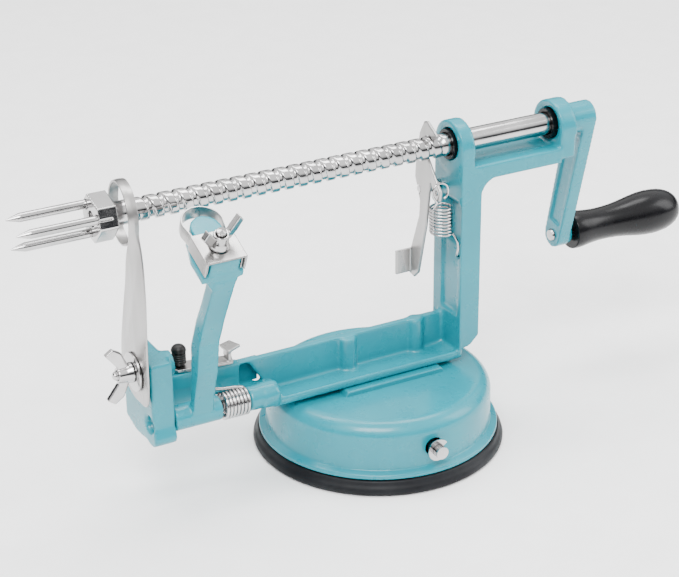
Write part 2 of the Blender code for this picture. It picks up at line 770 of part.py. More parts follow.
def make_crank():
    place = crank_turn()
    length = CRANK_RIGHT - CRANK_LEFT
    hub = rod("crank_arm", length, CRANK_HUB_R, "turquoise_paint", place @ at(z=CRANK_LEFT), 28)
    outline = arc((0, CRANK_R), CRANK_HALF, 0, 180, 10)
    outline += arc((0, 0), CRANK_HUB_R - 0.05 * MM, 180, 360, 12)
    join(hub, plate("crank_bar", outline, CRANK_ARM_X, CRANK_RIGHT, matrix=place))
    boss = rod("crank_boss", CRANK_RIGHT + 1.6 * MM - CRANK_ARM_X, CRANK_HALF - 0.4 * MM)
    boss.matrix_world = place @ at(0, CRANK_R, CRANK_ARM_X)
    join(hub, boss)
    channel = box(
        "crank_channel",
        (-CRANK_HALF + 2 * MM, CRANK_HUB_R + 2 * MM, CRANK_ARM_X - MM),
        (CRANK_HALF - 2 * MM, CRANK_R - 7 * MM, CRANK_ARM_X + MM),
        matrix=place,
    )
    below = place @ at(z=CRANK_LEFT - MM)
    bore = rod("crank_bore", 10 * MM + GAP, SPIGOT_R + GAP, matrix=below)
    through = place @ at(0, CRANK_R, 95 * MM)
    pin_hole = rod("crank_pin_hole", 20 * MM, HANDLE_PIN_R + GAP, matrix=through)
    cut(hub, channel, bore, pin_hole)
    profile = [
        (0, HANDLE_LEFT + 46 * MM),
        (HANDLE_PIN_R, HANDLE_LEFT + 46 * MM),
        (HANDLE_PIN_R, CRANK_ARM_X - GAP),
        (2.7 * MM, CRANK_ARM_X - GAP),
        (2.4 * MM, CRANK_ARM_X - 1.1 * MM),
        (0, CRANK_ARM_X - 1.4 * MM),
    ]
    turned("handle_pin", profile, "bright_steel", place @ at(0, CRANK_R), steps=16)


def make_handle():
    bore = HANDLE_PIN_R + GAP
    left, right = HANDLE_LEFT, HANDLE_RIGHT
    profile = [
        (0, right),
        (4.5 * MM, right - 0.9 * MM),
        (7.6 * MM, right - 3.4 * MM),
        (9.4 * MM, right - 7.5 * MM),
        (10.3 * MM, right - 16 * MM),
        (9.7 * MM, right - 23.5 * MM),
        (8.5 * MM, right - 30 * MM),
        (7.5 * MM, right - 40 * MM),
        (7.5 * MM, right - 47 * MM),
        (8.6 * MM, right - 56 * MM),
        (8.5 * MM, left + 1.5 * MM),
        (7.9 * MM, left),
        (bore, left),
        (bore, left + 47 * MM),
        (0, left + 47 * MM),
    ]
    turned("crank_handle", profile, "black_plastic", crank_turn() @ at(0, CRANK_R), steps=28)


# Peeling arm -----------------------------------------------------------------------------------


def head_place():
    """Local x across the head, y along the blade towards the apple, z up out of the head."""
    slope = math.radians(HEAD_SLOPE)
    return at(HEAD_X, HEAD_Y, HEAD_Z) @ Matrix.Rotation(slope, 4, "X")


def make_peeling_arm():
    barrel = rod(
        "peeling_arm",
        BARREL_RIGHT - BARREL_LEFT,
        BARREL_R,
        "turquoise_paint",
        facing_x(BARREL_LEFT, ARM_Y, ARM_Z),
        24,
    )
    front = [(-14.0, 40.5), (-15.7, 48.6), (-19.8, 61.5), (-22.3, 75.5), (-28.9, 89.5)]
    front += [(-38.0, 106.3), (-39.5, 110.0)]
    back = [(-33.0, 113.0), (-31.0, 107.0), (-26.4, 98.0), (-19.8, 86.5), (-13.6, 72.7)]
    back += [(-12.3, 51.7), (-9.5, 40.5)]
    side = [(y * MM, z * MM) for y, z in front + back]
    join(barrel, plate("arm_bar", side, ARM_LEFT, ARM_RIGHT, matrix=facing_x()))
    place = head_place()
    half = BRACKET_HALF - SHEET - 3 * GAP - BLADE_SHEET
    top = -SHEET - GAP
    shelf = top - BLADE_DEPTH - 2 * GAP
    outline = [(-half, 0.6 * MM), (half, 0.6 * MM)] + arc((0, 26 * MM - half), half, 0, 180, 8)
    head = plate("arm_head", outline, shelf - MM, top, matrix=place)
    wide = BRACKET_HALF + 0.2 * MM
    far = arc((0, 25 * MM - half), half + 0.8 * MM, 0, 180, 8)
    rim = [(-wide, 12 * MM), (-wide, 0.4 * MM), (wide, 0.4 * MM), (wide, 12 * MM), *far]
    under = plate("arm_shelf", rim, shelf - 3.4 * MM, shelf, matrix=place)
    left, right = ARM_LEFT - HEAD_X + 0.05 * MM, ARM_RIGHT - HEAD_X
    face = [(-wide + MM, shelf - 2 * MM), (left, shelf - 9 * MM), (right, shelf - 9 * MM)]
    face += [(wide - 2 * MM, shelf - 5.5 * MM), (wide - 2 * MM, shelf - 2 * MM)]
    chin = plate("arm_chin", face, -9 * MM, -0.7 * MM, matrix=place @ upright())
    join(barrel, head, under, chin)
    along = facing_x(BARREL_LEFT - 5 * MM, ARM_Y, ARM_Z)
    bore = rod("barrel_bore", 30 * MM, ARM_ROD_R + GAP, matrix=along)
    under_stud = place @ at(0, PARING_STUD_AT, -7.5 * MM)
    stud = rod("paring_stud_hole", 9 * MM, PARING_STUD_R + GAP, matrix=under_stud)
    cut(barrel, bore, stud)
    rod_left = BLOCK_LEFT + 2.6 * MM
    rod("arm_pivot_rod", 45 * MM, ARM_ROD_R, "bright_steel", facing_x(rod_left, ARM_Y, ARM_Z), 16)


def make_arm_spring():
    start = BARREL_RIGHT + 1.1 * MM
    turns = 7
    pitch = (LUG_LEFT - 1.1 * MM - start) / turns
    points = []
    for point in coil((0, 0, 0), ARM_SPRING_R, turns, pitch, 150, 10):
        points.append(Vector((start + point.z, ARM_Y + point.x, ARM_Z + point.y)))
    wire("arm_torsion_spring", points, ARM_SPRING_WIRE, "bright_steel")


def make_paring_head():
    place = head_place()
    width, drop = BRACKET_HALF, BRACKET_DROP
    low, high = (-width, 0, -drop), (width, BRACKET_LENGTH, 0)
    bracket = box("knife_bracket", low, high, "blade_steel", matrix=place)
    inside = box(
        "bracket_inside",
        (-width + SHEET, -MM, -drop - MM),
        (width - SHEET, BRACKET_LENGTH + MM, -SHEET),
        matrix=place,
    )
    slot_r = PARING_STUD_R + GAP
    slot = arc((0, PARING_STUD_AT + PARING_SLIDE), slot_r, 0, 180, 6)
    slot += arc((0, PARING_STUD_AT - PARING_SLIDE), slot_r, 180, 360, 6)
    cut(bracket, inside, plate("bracket_slot", slot, -2 * MM, MM, matrix=place))
    leg = width - SHEET - GAP - BLADE_SHEET / 2
    bow = width - BLADE_SHEET / 2
    centre = BLADE_REACH - bow
    middle = [(leg, 1.2 * MM), (leg, BRACKET_LENGTH), *arc((0, centre), bow, 0, 180, 16)]
    middle += [(-leg, BRACKET_LENGTH), (-leg, 1.2 * MM)]
    low, high = -SHEET - GAP - BLADE_DEPTH, -SHEET - GAP
    sections = []
    for i, (x, y) in enumerate(middle):
        before = Vector(middle[max(i - 1, 0)])
        after = Vector(middle[min(i + 1, len(middle) - 1)])
        along = (after - before).normalized()
        out = Vector((along.y, -along.x)) * BLADE_SHEET / 2
        inner, outer = Vector((x, y)) - out, Vector((x, y)) + out
        sections.append([(*inner, low), (*outer, low), (*outer, high), (*inner, high)])
    blade = loft("paring_blade", sections, "blade_steel")
    blade.matrix_world = place
    turned(
        "paring_stud",
        [
            (0, 8.6 * MM),
            (PARING_STUD_R, 8.2 * MM),
            (PARING_STUD_R, -6.3 * MM),
            (0, -6.3 * MM),
        ],
        "bright_steel",
        place @ at(0, PARING_STUD_AT),
        steps=14,
    )
    nut_turn = Matrix.Rotation(math.radians(19), 4, "Z")
    make_wing_nut("paring_wing_nut", place @ at(0, PARING_STUD_AT, GAP) @ nut_turn, 10.3, 12)


def make_wing_nut(name, matrix, span, height):
    """A pressed nut: a tapered hub on local z with two wings that flare along local x."""
    bore = PARING_STUD_R + GAP
    hub = turned(
        name,
        [(bore, 6.2 * MM), (3.1 * MM, 6.2 * MM), (3.5 * MM, 2.4 * MM), (4.4 * MM, 0), (bore, 0)],
        "bright_steel",
        matrix,
        steps=18,
        ring=True,
    )
    for side in (-1, 1):
        wing = [
            (side * 2.6 * MM, 0.8 * MM),
            (side * (span - 2.5) * MM, (height - 7) * MM),
            (side * span * MM, (height - 3.2) * MM),
            (side * (span - 2.2) * MM, height * MM),
            (side * 2.8 * MM, 5.4 * MM),
        ]
        join(hub, plate(f"{name}_wing_{side}", wing, -1.2 * MM, 1.2 * MM, matrix=matrix @ upright()))


# Slicing knife ---------------------------------------------------------------------------------


def make_slicing_knife():
    """Blade and coring ring in one strip: the flat blade twists a quarter turn into the ring."""
    half = KNIFE_THICK / 2
    blade = [
        (-13.5, 49.0),
        (-5.8, 48.6),
        (1.2, 49.4),
        (6.5, 51.5),
        (11.2, 60.0),
        (10.2, 70.0),
        (7.3, 81.0),
        (3.1, 95.0),
        (0.4, 104.0),
        (-2.4, 112.0),
        (-18.6, 112.0),
        (-18.2, 104.0),
        (-17.4, 90.0),
        (-16.7, 79.0),
        (-16.6, 62.0),
        (-15.5, 52.0),
    ]
    outline = [(y * MM, z * MM) for y, z in blade]
    place = facing_x(KNIFE_X)
    knife = plate("slicing_knife", outline, -half, half, "blade_steel", place)
    steps = 30
    ring_start = math.radians(205)
    middle_r = RING_R - half
    sections = []
    for i in range(7):
        share = i / 6
        turn = math.radians(90) * share**1.3
        y = (-10.5 - 1.0 * share) * MM
        z = 111.0 * MM + share * (AXIS_Z + middle_r * math.sin(ring_start) - 111.0 * MM)
        y = y + share**2 * (middle_r * math.cos(ring_start) - y)
        wide = (8.1 * (1 - share) + RING_WIDTH / MM / 2 * share) * MM
        across = Vector((math.sin(turn), -math.cos(turn), 0))
        through = Vector((math.cos(turn), math.sin(turn), 0))
        centre = Vector((KNIFE_X - 0.8 * MM * share, y, z))
        sections.append((centre, across * wide, through * (half - 0.02 * MM)))
    for i in range(1, steps + 1):
        angle = ring_start - math.radians(338) * i / steps
        out = Vector((0, math.cos(angle), math.sin(angle)))
        lean = 1.1 * MM * math.cos(angle)
        centre = Vector((KNIFE_X + lean, 0, AXIS_Z)) + out * middle_r
        sections.append((centre, Vector((RING_WIDTH / 2, 0, 0)), -out * half))
    strip = []
    for centre, across, through in sections:
        strip.append(
            [
                centre - across - through,
                centre + across - through,
                centre + across + through,
                centre - across + through,
            ]
        )
    join(knife, loft("ring_strip", strip), solver="MANIFOLD")
    hole = rod("knife_hole", 6 * MM, STUD_R + GAP, matrix=facing_x(KNIFE_X - 3 * MM, STUD_Y, STUD_Z))
    cut(knife, hole, solver="MANIFOLD")


def make_knife_fixing():
    face = KNIFE_X - KNIFE_THICK / 2
    washer_x = face - GAP - WASHER_THICK
    turned(
        "knife_washer",
        [(WASHER_R, WASHER_THICK), (WASHER_R, 0), (STUD_R + GAP, 0), (STUD_R + GAP, WASHER_THICK)],
        "bright_steel",
        facing_x(washer_x, STUD_Y, STUD_Z),
        steps=24,
        ring=True,
    )
    left = washer_x - 8.4 * MM
    length = BLOCK_RIGHT + 2.5 * MM - left
    rod("knife_stud", length, STUD_R, "bright_steel", facing_x(left, STUD_Y, STUD_Z), 14)
    outward = facing_x(washer_x - GAP, STUD_Y, STUD_Z) @ Matrix.Rotation(math.pi, 4, "Y")
    upright_wings = Matrix.Rotation(math.radians(90), 4, "Z")
    make_wing_nut("knife_wing_nut", outward @ upright_wings, 12.2, 11)


# Latch -----------------------------------------------------------------------------------------


def make_latch():
    low = BRIDGE_TOP + GAP
    place = at(LATCH_X, LATCH_Y + 3 * MM)
    outline = arc((0, 0), 4.2 * MM, 90, 270, 6) + [(21.5 * MM, -7.2 * MM), (23 * MM, -1.5 * MM)]
    hole = arc((0, 0), LATCH_SCREW_R + GAP, 0, 330, 11)
    latch = plate("arm_latch", outline, low, low + LATCH_THICK, "blade_steel", place, [hole])
    riser_low, riser_high = (19.4 * MM, -6.6 * MM, low), (20.9 * MM, -1.6 * MM, 57.7 * MM)
    riser = box("latch_riser", riser_low, riser_high, matrix=place)
    tab = [
        (19.4 * MM, -7.1 * MM),
        (26.5 * MM, -3.8 * MM),
        (24.2 * MM, 2.4 * MM),
        (18.8 * MM, 0.6 * MM),
    ]
    join(latch, riser, plate("latch_tab", tab, 56.6 * MM, 57.8 * MM, matrix=place))
    top = low + LATCH_THICK + GAP
    turned(
        "latch_screw",
        [
            (0, 62.7 * MM),
            (2.2 * MM, 62.2 * MM),
            (3.2 * MM, 60.6 * MM),
            (3.2 * MM, 59.5 * MM),
            (LATCH_SCREW_R, 59.5 * MM),
            (LATCH_SCREW_R, 43 * MM),
            (0, 42.6 * MM),
        ],
        "black_steel",
        place,
        steps=16,
    )
    turns = 5
    pitch = (59.5 * MM - top - 1.4 * MM) / turns
    points = [place @ p for p in coil((0, 0, top + 0.6 * MM), 2.6 * MM, turns, pitch, 0, 10)]
    wire("latch_spring", points, 0.5 * MM, "black_steel")


# Release lever ---------------------------------------------------------------------------------


def make_release_lever():
    notch = arc((0, AXIS_Z / MM), (SHAFT_R + GAP) / MM, 128, -80, 9)
    side = [(7.6, 134.0), (4.2, 139.9), (1.7, 140.7), (-6.3, 136.3), *notch]
    side += [(-9.6, 112.4), (-8.8, 108.0), (-5.2, 107.6), (-1.4, 115.0), (1.6, 93.4), (7.7, 68.7)]
    side += [(11.1, 65.4), (16.3, 66.3), (14.7, 76.5), (7.4, 95.9), (6.9, 103.1), (9.4, 109.1)]
    side += [(11.1, 113.1), (10.4, 120.3), (9.0, 127.0)]
    outline = [(y * MM, z * MM) for y, z in side]
    place = facing_x(RELEASE_X)
    lever = plate("release_lever", outline, 0, RELEASE_THICK, "blade_steel", place)
    tab = box(
        "thumb_tab",
        (RELEASE_X - 7.4 * MM, 13.6 * MM, 67.0 * MM),
        (RELEASE_X + RELEASE_THICK / 2, 14.8 * MM, 78.2 * MM),
    )
    join(lever, tab)
    pin_hole = rod("lever_hole", 6 * MM, RELEASE_PIN_R + GAP, sides=14)
    pin_hole.matrix_world = facing_x(RELEASE_X - 2 * MM, RELEASE_PIN_Y, RELEASE_PIN_Z)
    loop_hole = rod("loop_hole", 6 * MM, RELEASE_WIRE + 2 * GAP, sides=10)
    loop_hole.matrix_world = facing_x(RELEASE_X - 2 * MM, LOOP_Y, LOOP_Z + LOOP_R * 0.86)
    cut(lever, pin_hole, loop_hole)
    turned(
        "lever_pivot_pin",
        [
            (0, POST_LEFT + 4 * MM),
            (RELEASE_PIN_R, POST_LEFT + 4 * MM),
            (RELEASE_PIN_R, POST_LEFT - 0.5 * MM),
            (2.4 * MM, POST_LEFT - 0.5 * MM),
            (2.4 * MM, RELEASE_X + RELEASE_THICK + GAP),
            (RELEASE_PIN_R, RELEASE_X + RELEASE_THICK + GAP),
            (RELEASE_PIN_R, RELEASE_X + 0.2 * MM),
            (0, RELEASE_X),
        ],
        "bright_steel",
        facing_x(0, RELEASE_PIN_Y, RELEASE_PIN_Z),
        steps=14,
    )


def make_release_spring():
    """An extension spring: a round loop through the lever's prong, ten turns, a hook in the post."""
    turns, top, bottom = 10, 103.0 * MM, 91.0 * MM
    points = []
    for i in range(13):
        angle = math.radians(-60 + 280 * i / 12)
        across, up = LOOP_R * math.cos(angle), LOOP_R * math.sin(angle)
        points.append(Vector((LOOP_X + across, LOOP_Y, LOOP_Z + up)))
    pitch = (bottom - top) / turns
    for point in coil((RELEASE_SPRING_X, 0, top), RELEASE_SPRING_R, turns, pitch, 200, 10):
        fall = (top - point.z) / (top - bottom)
        points.append(point + Vector((0, RELEASE_SPRING_Y - 0.6 * MM * fall, 0)))
    points.append(Vector((RELEASE_SPRING_X - MM, -9.0 * MM, 87.5 * MM)))
    points.append(Vector((RELEASE_SPRING_X + 3.5 * MM, -9.2 * MM, 83.5 * MM)))
    points.append(Vector((POST_LEFT - 0.2 * MM, -8.5 * MM, 80.5 * MM)))
    points.append(Vector((POST_LEFT + 2.5 * MM, -8.5 * MM, 80.5 * MM)))
    wire("release_spring", points, RELEASE_WIRE, "bright_steel")


def hang(name, place, *children):
    """Parents each moving piece to an empty on its joint's axis, leaving it where it is."""
    pivot = bpy.data.objects.new(name, None)
    pivot.empty_display_size = 0.01
    pivot.matrix_world = place
    parts.objects.link(pivot)
    for child in children:
        item = bpy.data.objects[child]
        item.parent = pivot
        item.matrix_parent_inverse = place.inverted()


def hang_moving_pieces():
    screw_axis = facing_x(0, 0, AXIS_Z)
    fork = ["fork_hub", "fork_pin_1", "fork_pin_2", "fork_pin_3"]
    hang("feed_axis", screw_axis, "feed_shaft", "crank_arm", "handle_pin", *fork)
    hang("handle_axis", crank_turn() @ at(0, CRANK_R), "crank_handle")
    hang("arm_axis", facing_x(0, ARM_Y, ARM_Z), "peeling_arm", "paring_stud")
    hang("paring_axis", head_place(), "knife_bracket", "paring_blade", "paring_wing_nut")
    hang("latch_axis", at(LATCH_X, LATCH_Y + 3 * MM), "arm_latch")
    hang("knife_axis", facing_x(0, STUD_Y, STUD_Z), "slicing_knife", "knife_wing_nut")
    hang("release_axis", facing_x(0, RELEASE_PIN_Y, RELEASE_PIN_Z), "release_lever")
    on_cam = ["cam_shaft", "shaft_clip", "suction_lever", "lever_grip"]
    hang("cam_axis", facing_y(CAM_X, 0, CAM_Z), *on_cam)
    hang("plunger_axis", at(CAM_X, 0, CAM_Z), "vacuum_plunger")


clear_scene()
parts = new_collection("apple_peeler_corer")
helpers = new_collection("cutters", hidden=True)
make_suction_cup()
make_base_housing()
make_cam_shaft()
make_suction_lever()
make_plunger()
make_frame()
make_bushes()
make_frame_screws()
make_feed_shaft()
make_fork()
make_crank()
make_handle()
make_peeling_arm()
make_arm_spring()
make_paring_head()
make_slicing_knife()
make_knife_fixing()
make_latch()
make_release_lever()
make_release_spring()
hang_moving_pieces()
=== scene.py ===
# %% [markdown]
# # A hand-cranked apple peeler and corer
# The tool is a turquoise casting on a rubber vacuum foot. A threaded steel shaft carries a
# three-pronged fork past a sprung paring arm and through a coring ring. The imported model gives
# every solid its place, so this lesson only makes what is seen: soft cast edges, a real thread,
# coiled wire and finishes with grain. We start by loading that model and keeping its box.

import json
import math

import bmesh
import bpy
from mathutils import Matrix, Vector


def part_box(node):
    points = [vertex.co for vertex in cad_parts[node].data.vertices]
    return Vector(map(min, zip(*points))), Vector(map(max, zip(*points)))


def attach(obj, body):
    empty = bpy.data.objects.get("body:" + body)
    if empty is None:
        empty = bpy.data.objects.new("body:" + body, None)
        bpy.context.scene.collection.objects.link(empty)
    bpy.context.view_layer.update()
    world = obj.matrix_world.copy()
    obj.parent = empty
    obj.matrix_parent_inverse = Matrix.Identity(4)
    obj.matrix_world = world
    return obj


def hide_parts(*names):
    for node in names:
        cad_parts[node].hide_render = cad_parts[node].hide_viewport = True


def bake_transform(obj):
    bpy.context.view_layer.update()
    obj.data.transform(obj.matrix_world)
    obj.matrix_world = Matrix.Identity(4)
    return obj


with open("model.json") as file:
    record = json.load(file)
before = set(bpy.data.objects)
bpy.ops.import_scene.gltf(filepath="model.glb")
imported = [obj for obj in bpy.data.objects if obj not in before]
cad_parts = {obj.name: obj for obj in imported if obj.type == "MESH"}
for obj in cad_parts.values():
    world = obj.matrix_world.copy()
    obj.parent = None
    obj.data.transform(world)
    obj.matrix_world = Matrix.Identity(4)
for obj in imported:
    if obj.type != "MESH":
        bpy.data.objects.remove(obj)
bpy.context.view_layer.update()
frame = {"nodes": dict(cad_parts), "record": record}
MM = 0.001

# %% [markdown]
# The lens is long, so the foot's circle is a gentle ellipse and parallel edges stay nearly
# parallel. The camera's own three axes are written as the columns of its matrix. That is the
# plainest way to hold an angle that also leans by half a degree.

# %% Place the camera
FOCAL_MM, SENSOR_MM = 102.76, 36
STAND = (-0.37209, -0.64823, 0.42421)
lens = bpy.data.cameras.new("studio_camera")
lens.lens = FOCAL_MM
lens.sensor_width = SENSOR_MM
camera = bpy.data.objects.new("studio_camera", lens)
bpy.context.scene.collection.objects.link(camera)
right = Vector((0.87631, -0.48169, -0.00729))
upward = Vector((0.21204, 0.37210, 0.90365))
backward = Vector((-0.43256, -0.79343, 0.42821))
turn = Matrix((right, upward, backward)).transposed().to_4x4()
camera.matrix_world = Matrix.Translation(STAND) @ turn
bpy.context.scene.camera = camera
print("lens:", lens.lens, "mm")

# %% [markdown]
# Every finish is made from the same few steps: a noise read in the object's own metres, a
# remapping of that noise to a useful range, and a bump. Three small helpers, and a fourth that
# puts them together, keep each finish readable. Stretching the noise along one axis turns
# specks into brushed lines.

# %% Helpers for finishes


def grain(material, scale, detail=3.0, stretch=(1, 1, 1)):
    """Noise over the piece, where scale is specks per metre."""
    tree = material.node_tree
    coords = tree.nodes.new("ShaderNodeTexCoord")
    mapping = tree.nodes.new("ShaderNodeMapping")
    mapping.inputs["Scale"].default_value = stretch
    noise = tree.nodes.new("ShaderNodeTexNoise")
    noise.inputs["Scale"].default_value = scale
    noise.inputs["Detail"].default_value = detail
    tree.links.new(coords.outputs["Object"], mapping.inputs["Vector"])
    tree.links.new(mapping.outputs["Vector"], noise.inputs["Vector"])
    return noise.outputs["Fac"]


def spread(material, factor, low, high):
    """Remaps a noise, which stays near its middle, to run from low to high."""
    node = material.node_tree.nodes.new("ShaderNodeMapRange")
    node.inputs["From Min"].default_value = 0.3
    node.inputs["From Max"].default_value = 0.7
    node.inputs["To Min"].default_value = low
    node.inputs["To Max"].default_value = high
    material.node_tree.links.new(factor, node.inputs["Value"])
    return node.outputs["Result"]


def tones(material, factor, dark, light):
    """A colour that runs from dark to light with the noise."""
    node = material.node_tree.nodes.new("ShaderNodeValToRGB")
    node.color_ramp.elements[0].position = 0.35
    node.color_ramp.elements[0].color = (*dark, 1)
    node.color_ramp.elements[1].position = 0.65
    node.color_ramp.elements[1].color = (*light, 1)
    material.node_tree.links.new(factor, node.inputs["Fac"])
    return node.outputs["Color"]


TONE_SCALE, PATCH_SCALE = 55, 140


def finish(name, metal, colour, rough, bump, stretch=(1, 1, 1)):
    """A surface: two tones, a range of roughness, and a bump of (scale, strength, depth in mm)."""
    material = bpy.data.materials.new(name)
    material.use_nodes = True
    tree = material.node_tree
    shader = tree.nodes["Principled BSDF"]
    shader.inputs["Metallic"].default_value = metal
    tone = tones(material, grain(material, TONE_SCALE, 4, stretch), *colour)
    tree.links.new(tone, shader.inputs["Base Color"])
    patches = spread(material, grain(material, PATCH_SCALE, 5, stretch), *rough)
    tree.links.new(patches, shader.inputs["Roughness"])
    relief = tree.nodes.new("ShaderNodeBump")
    scale, strength, depth = bump
    relief.inputs["Strength"].default_value = strength
    relief.inputs["Distance"].default_value = depth * MM
    tree.links.new(grain(material, scale, 6, stretch), relief.inputs["Height"])
    tree.links.new(relief.outputs["Normal"], shader.inputs["Normal"])
    return material


# %% [markdown]
# The casting is sprayed with a hard turquoise enamel. Under the gloss it keeps the slight
# waviness of sand-cast metal, which shows as orange peel in the highlights. A clear coat over a
# slightly rougher colour gives the wide soft sheen with a crisp edge.

# %% Turquoise enamel
enamel = finish(
    "turquoise_enamel",
    0.0,
    ((0.0, 0.205, 0.262), (0.001, 0.225, 0.284)),
    (0.24, 0.36),
    (420, 0.06, 0.05),
)
enamel_shader = enamel.node_tree.nodes["Principled BSDF"]
enamel_shader.inputs["Specular IOR Level"].default_value = 0.4
enamel_shader.inputs["Coat Weight"].default_value = 0.2
enamel_shader.inputs["Coat Roughness"].default_value = 0.12
print("enamel nodes:", len(enamel.node_tree.nodes))

# %% [markdown]
# There are three steels. The shaft, fork, nuts and springs are polished and plated, so they
# mirror the room with a few faint handling marks. The blades are ground, with fine lines along
# their length. The latch's screw and spring are blackened.

# %% Steels
plated = finish(
    "plated_steel",
    1.0,
    ((0.40, 0.395, 0.395), (0.54, 0.53, 0.53)),
    (0.09, 0.19),
    (900, 0.05, 0.05),
)
ground = finish(
    "ground_steel",
    1.0,
    ((0.30, 0.295, 0.29), (0.44, 0.43, 0.425)),
    (0.24, 0.38),
    (1500, 0.12, 0.05),
    (1.0, 1.0, 0.08),
)
blackened = finish(
    "blackened_steel",
    0.8,
    ((0.01, 0.01, 0.011), (0.035, 0.034, 0.033)),
    (0.30, 0.48),
    (1200, 0.15, 0.05),
)
print("steels:", plated.name, ground.name, blackened.name)

# %% [markdown]
# The handle and bushes are moulded plastic with a satin gloss. The foot is rubber: it scatters
# more light, picks up a little dust, and its skin is finely pitted.

# %% Plastic and rubber
plastic = finish(
    "black_moulding",
    0.0,
    ((0.0015, 0.0015, 0.002), (0.004, 0.004, 0.005)),
    (0.20, 0.32),
    (1100, 0.08, 0.06),
)
rubber = finish(
    "foot_rubber",
    0.0,
    ((0.003, 0.0035, 0.005), (0.010, 0.011, 0.013)),
    (0.42, 0.60),
    (1600, 0.25, 0.08),
)
plastic.node_tree.nodes["Principled BSDF"].inputs["Specular IOR Level"].default_value = 0.22
rubber.node_tree.nodes["Principled BSDF"].inputs["Specular IOR Level"].default_value = 0.2
finishes = {
    "turquoise_paint": enamel,
    "bright_steel": plated,
    "blade_steel": ground,
    "black_steel": blackened,
    "black_plastic": plastic,
    "black_rubber": rubber,
}
print("finishes:", ", ".join(finishes))

# %% [markdown]
# Small solids such as the bushes, rods and pins already have the right shape, so they stay and
# only change finish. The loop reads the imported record, which says which slot each node has.

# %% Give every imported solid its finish
node_slot = {part["node"]: part["material_slot"] for part in frame["record"]["subparts"]}
node_body = {}
for body_name, node_names in frame["record"]["behaviour"]["bodies"].items():
    for node_name in node_names:
        node_body[node_name] = body_name
for node_name, solid in frame["nodes"].items():
    for holder in solid.material_slots:
        holder.material = finishes[node_slot[node_name]]
print("nodes dressed:", len(node_slot))

# %% [markdown]
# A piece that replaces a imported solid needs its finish, its place in the tree of moving bodies,
# and the name of the solid that it stands for. Keeping that in one helper means no piece can
# forget one of the three. Two more turn finished mesh work into a piece, and cut a hole in one.

# %% Helpers: stand a piece in for a solid, link its mesh, bore it


def stand_in(piece, node):
    slot_name = node_slot[node]
    piece.data.materials.clear()
    piece.data.materials.append(finishes[slot_name])
    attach(piece, node_body[node])
    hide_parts(node)
    return piece


def link_mesh(name, data, sharp=40):
    """Links a new mesh, shaded smooth but for edges sharper than an angle in degrees."""
    data.shade_smooth()
    if sharp:
        data.set_sharp_from_angle(angle=math.radians(sharp))
    piece = bpy.data.objects.new(name, data)
    bpy.context.scene.collection.objects.link(piece)
    return piece


def as_piece(name, mesh, sharp=40):
    """Closes the mesh work and links it as a piece."""
    data = bpy.data.meshes.new(name)
    mesh.to_mesh(data)
    mesh.free()
    return link_mesh(name, data, sharp)


def bored(piece, tool):
    """Cuts the tool out of the piece for good, and removes the tool."""
    cut = piece.modifiers.new("hole", "BOOLEAN")
    cut.operation = "DIFFERENCE"
    cut.solver = "EXACT"
    cut.object = tool
    graph = bpy.context.evaluated_depsgraph_get()
    data = bpy.data.meshes.new_from_object(piece.evaluated_get(graph))
    piece.modifiers.clear()
    piece.data = data
    bpy.data.objects.remove(tool, do_unlink=True)
    return data


# %% [markdown]
# Castings and pressings have no knife-sharp edges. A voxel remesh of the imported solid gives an
# even skin, and a few passes of smoothing melt its edges to the size of a voxel or two. That
# rounds every corner of a shape with dozens of joined blocks, where a bevel would tear.

# %% Cast and pressed pieces


def softened(name, node, voxel, passes):
    """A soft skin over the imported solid, where voxel is its grid in mm."""
    copy = bpy.data.objects.new(name, frame["nodes"][node].data.copy())
    bpy.context.scene.collection.objects.link(copy)
    skin = copy.modifiers.new("skin", "REMESH")
    skin.mode = "VOXEL"
    skin.voxel_size = voxel * MM
    melt = copy.modifiers.new("melt", "SMOOTH")
    melt.factor = 0.5
    melt.iterations = passes
    graph = bpy.context.evaluated_depsgraph_get()
    data = bpy.data.meshes.new_from_object(copy.evaluated_get(graph))
    bpy.data.objects.remove(copy, do_unlink=True)
    piece = link_mesh(name, data, 0)
    return stand_in(piece, node)


softened("cast_frame", "frame_casting", 0.75, 4)
softened("cast_peeling_arm", "peeling_arm", 0.55, 4)
softened("cast_crank", "crank_arm", 0.55, 4)
softened("forged_fork_hub", "fork_hub", 0.35, 3)
softened("pressed_bracket", "knife_bracket", 0.25, 2)
softened("pressed_knife_nut", "knife_wing_nut", 0.3, 3)
softened("pressed_paring_nut", "paring_wing_nut", 0.3, 3)
softened("stamped_release_lever", "release_lever", 0.3, 2)
softened("stamped_latch", "arm_latch", 0.3, 2)

# %% [markdown]
# Where the casting's web is cut away at an angle beside the pivot, a thin wall stays behind the
# opening, so it looks deep and dark. The wall is a small bevelled plate, cast with the frame.

# %% Wall behind the web's opening
WALL_MIDDLE, WALL_SIZE = (-61.0, 8.6, 42.6), (13.0, 1.4, 11.0)
wall_mesh = bmesh.new()
bmesh.ops.create_cube(wall_mesh, size=1.0)
for corner in wall_mesh.verts:
    spot = [mid + side * full for mid, side, full in zip(WALL_MIDDLE, corner.co, WALL_SIZE)]
    corner.co = Vector(spot) * MM
wall = as_piece("web_back_wall", wall_mesh, 30)
wall_rim = wall.modifiers.new("rim", "BEVEL")
wall_rim.width = 0.4 * MM
wall_rim.segments = 3
stand_in(wall, "frame_casting")
print("web wall:", [round(v * 1000, 1) for v in wall.dimensions], "mm")

# %% [markdown]
# Turned pieces are made as a lathe would make them: a profile of radius and height swept round
# an axis. Rounding the profile's corners first gives every rim a small lip that catches light.

# %% Helpers: rounded profile and lathe


